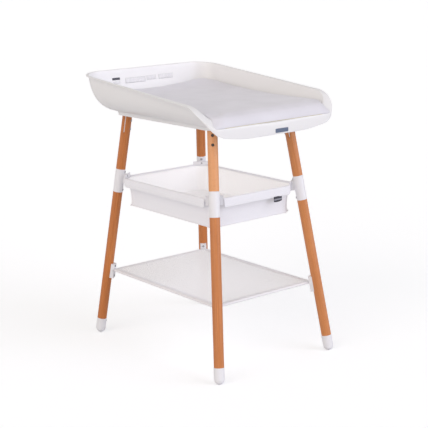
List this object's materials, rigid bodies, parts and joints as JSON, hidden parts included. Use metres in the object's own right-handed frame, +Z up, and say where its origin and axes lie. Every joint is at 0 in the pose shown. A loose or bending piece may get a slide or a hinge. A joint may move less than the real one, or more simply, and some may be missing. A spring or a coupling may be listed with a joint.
{
  "type": "changing table",
  "caption": "Changing table with a moulded tub and loose padded mat on splayed round wooden legs, with a hanging mesh basket and a mesh shelf below.",
  "frame": {"origin": "on the floor, at the middle of the four feet", "axes": "+Z up, +Y from the low front lip of the tub towards its high back wall, +X to the right of a person who stands at the front"},
  "size_m": [0.5952, 0.7702, 1.001],
  "materials": {
    "beech": "satin lacquer over round beech",
    "white_steel": "white powder coat",
    "white_nylon": "moulded white",
    "tub_plastic": "moulded white, satin gloss",
    "dark_steel": "blackened steel",
    "bright_steel": "zinc plated",
    "mat_cover": "smooth coated knit",
    "mesh_fabric": "fine off-white mesh",
    "base_board": "matt sheet",
    "tag_fabric": "woven dark navy",
    "badge": "matt blue-grey"
  },
  "bodies": {
    "table": {"badge_plate": "badge", "basket_base": "base_board", "basket_bracket_back_left": "white_steel", "basket_bracket_back_right": "white_steel", "basket_bracket_front_left": "white_steel", "basket_bracket_front_right": "white_steel", "basket_fabric": "mesh_fabric", "basket_rail_back": "white_steel", "basket_rail_front": "white_steel", "basket_rail_left": "white_steel", "basket_rail_right": "white_steel", "basket_rivets": "bright_steel", "basket_tag": "tag_fabric", "foot_cap_back_left": "white_nylon", "foot_cap_back_right": "white_nylon", "foot_cap_front_left": "white_nylon", "foot_cap_front_right": "white_nylon", "foot_screws": "bright_steel", "leg_sleeve_back_left": "white_steel", "leg_sleeve_back_right": "white_steel", "leg_sleeve_front_left": "white_steel", "leg_sleeve_front_right": "white_steel", "leg_tongue_back_left": "white_steel", "leg_tongue_back_right": "white_steel", "leg_tongue_front_left": "white_steel", "leg_tongue_front_right": "white_steel", "lower_leg_back_left": "beech", "lower_leg_back_right": "beech", "lower_leg_front_left": "beech", "lower_leg_front_right": "beech", "shelf_bolts": "bright_steel", "shelf_bracket_back_left": "white_steel", "shelf_bracket_back_right": "white_steel", "shelf_bracket_front_left": "white_steel", "shelf_bracket_front_right": "white_steel", "shelf_mesh": "mesh_fabric", "shelf_rail_back": "white_steel", "shelf_rail_front": "white_steel", "shelf_rail_left": "white_steel", "shelf_rail_right": "white_steel", "sleeve_bolts": "bright_steel", "tongue_bolts": "dark_steel", "tongue_nuts": "dark_steel", "tub_screws": "dark_steel", "tub_shell": "tub_plastic", "under_frame": "tub_plastic", "upper_leg_back_left": "beech", "upper_leg_back_right": "beech", "upper_leg_front_left": "beech", "upper_leg_front_right": "beech"},
    "mat": {"changing_mat": "mat_cover"}
  },
  "joints": [
    {"name": "mat_lift", "type": "slide", "parent": "table", "child": "mat", "axis": [0, 0, 1], "range_m": [0, 0.16]}
  ]
}
